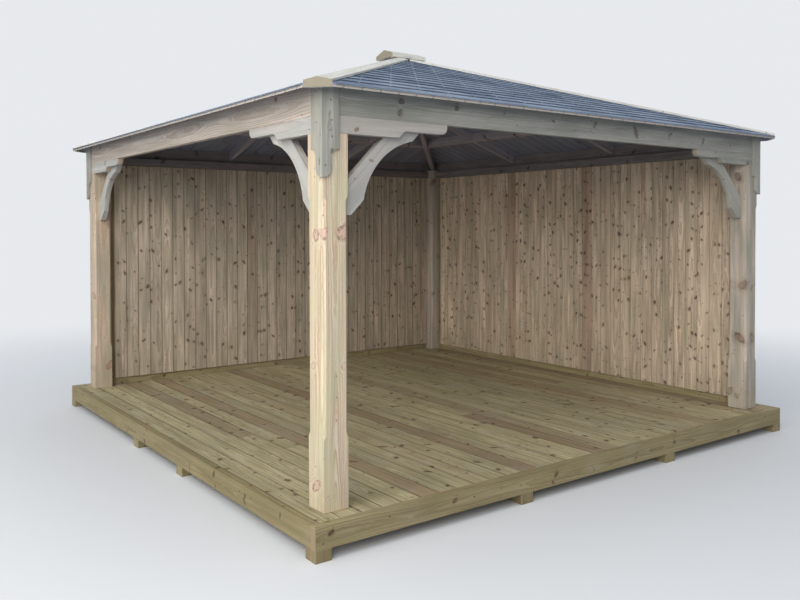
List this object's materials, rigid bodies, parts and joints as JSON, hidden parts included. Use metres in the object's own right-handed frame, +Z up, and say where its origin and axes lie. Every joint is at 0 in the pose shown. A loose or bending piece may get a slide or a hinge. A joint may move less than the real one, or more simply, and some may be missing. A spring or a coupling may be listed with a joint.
{
  "type": "garden gazebo",
  "caption": "Square timber garden gazebo with a hipped shingle roof, two boarded sides, two open sides with arched braces, and a boarded deck.",
  "frame": {"origin": "on the ground under the centre of the roof and deck", "axes": "+Z up, +X along the front from the open left side to the boarded right side, +Y from the open front to the boarded back"},
  "size_m": [4.31, 4.31, 3.0974],
  "materials": {
    "post_timber": "planed pine, cream to tan, with knots",
    "beam_timber": "planed pressure-treated pine, matte, greenish cream",
    "wall_boarding": "tongued and grooved pine boards, matte, with dark knots",
    "decking": "grooved pressure-treated pine boards, olive to tan, matte",
    "rafter_timber": "sawn pine, matte",
    "roof_boarding": "planed pine boards, matte, pale at the ends",
    "cap_timber": "planed pine, pale cream, matte",
    "shingles": "bitumen felt shingles with dark slate-blue mineral grit, matte",
    "screws": "dull zinc-plated screw heads"
  },
  "bodies": {
    "root": {"apex_block": "rafter_timber", "beam_back": "beam_timber", "beam_front": "beam_timber", "beam_left": "beam_timber", "beam_right": "beam_timber", "brace_front_east": "beam_timber", "brace_front_west": "beam_timber", "brace_left_east": "beam_timber", "brace_left_west": "beam_timber", "bracket_front_east": "beam_timber", "bracket_front_west": "beam_timber", "bracket_left_east": "beam_timber", "bracket_left_west": "beam_timber", "corner_boards_back": "beam_timber", "corner_boards_front": "beam_timber", "corner_boards_left": "beam_timber", "corner_boards_right": "beam_timber", "deck_boards": "decking", "deck_joists": "decking", "deck_rims_long": "decking", "deck_rims_short": "decking", "deck_stubs": "decking", "hip_back_left": "rafter_timber", "hip_back_right": "rafter_timber", "hip_caps": "cap_timber", "hip_front_left": "rafter_timber", "hip_front_right": "rafter_timber", "jack_rafters": "rafter_timber", "noggings": "rafter_timber", "post_back_left": "post_timber", "post_back_right": "post_timber", "post_front_left": "post_timber", "post_front_right": "post_timber", "ridge_cap": "cap_timber", "roof_boards_back": "roof_boarding", "roof_boards_front": "roof_boarding", "roof_boards_left": "roof_boarding", "roof_boards_right": "roof_boarding", "shingles_back": "shingles", "shingles_front": "shingles", "shingles_left": "shingles", "shingles_right": "shingles", "wall_boards_back": "wall_boarding", "wall_boards_right": "wall_boarding", "wall_head_rails": "beam_timber", "wall_rails": "beam_timber", "wall_stiles": "beam_timber"}
  },
  "joints": []
}
